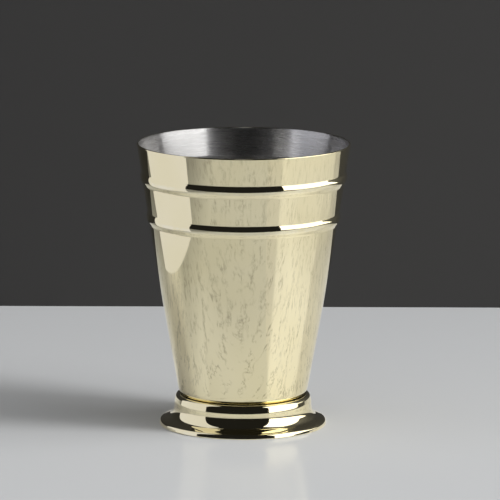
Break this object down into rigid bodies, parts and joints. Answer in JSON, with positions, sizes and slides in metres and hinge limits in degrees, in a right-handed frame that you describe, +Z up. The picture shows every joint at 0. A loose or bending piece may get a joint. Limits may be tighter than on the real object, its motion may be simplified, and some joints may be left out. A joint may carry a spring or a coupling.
{
  "type": "julep cup",
  "caption": "Tapered metal julep cup with rolled beads under its rounded lip, standing on a low hollow foot with a collar, a cove and a turned-down edge; it holds an iced drink.",
  "frame": {"origin": "centre of the circle that the foot stands on, at table height", "axes": "+Z up along the cup's axis; the cup is the same all round, so +X and +Y are arbitrary"},
  "size_m": [0.084, 0.084, 0.112],
  "materials": {
    "gold_plate": "mirror-polished pale gold plate outside, bare brushed stainless steel inside",
    "foot_plate": "mirror-polished pale gold plate outside, unpolished plate in the hollow underneath",
    "braze": "dull silver braze, as run"
  },
  "bodies": {
    "root": {"cup_body": "gold_plate", "foot": "foot_plate", "braze_ring": "braze"}
  },
  "joints": []
}
